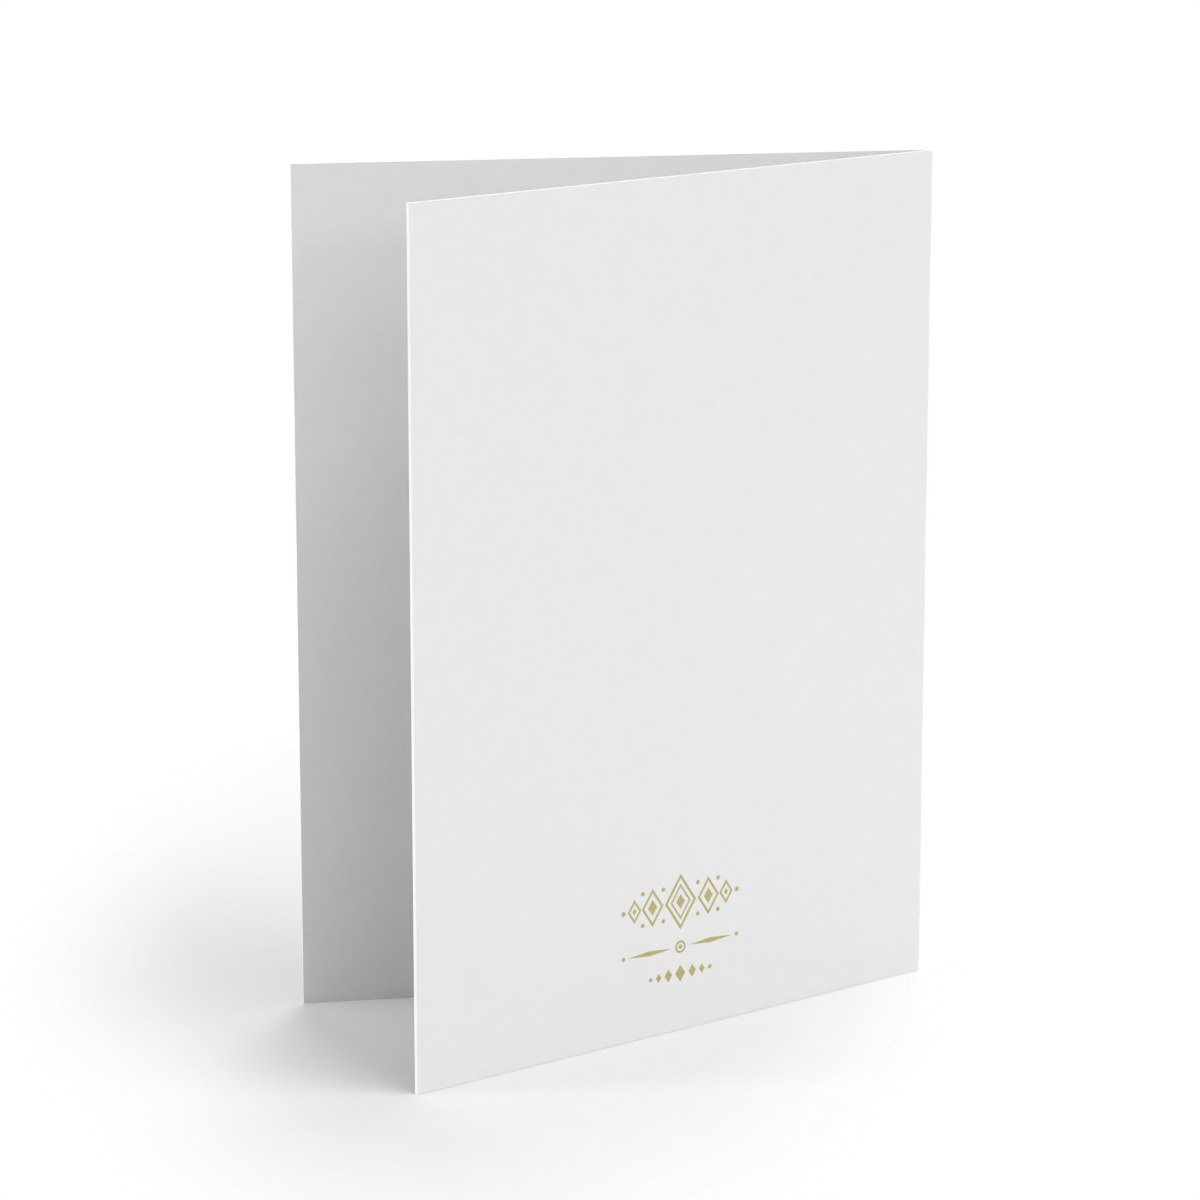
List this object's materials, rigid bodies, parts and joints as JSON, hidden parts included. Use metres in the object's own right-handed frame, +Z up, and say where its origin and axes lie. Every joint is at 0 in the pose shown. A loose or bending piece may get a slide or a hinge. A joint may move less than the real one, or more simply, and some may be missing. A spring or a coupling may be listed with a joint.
{
  "type": "greeting card",
  "caption": "White folded greeting card standing a little open on its lower edge, with plain covers joined at a creased fold.",
  "frame": {"origin": "middle of the card's footprint, on the surface that it stands on", "axes": "+Z up, along the fold; +X across the covers from the fold towards the open edges; +Y out of the back cover's side, so the front cover is on the -Y side"},
  "size_m": [0.1112, 0.056, 0.1524],
  "materials": {
    "card_board": "matte",
    "gold_print": "satin"
  },
  "bodies": {
    "root": {"folded_card": "card_board"}
  },
  "joints": []
}
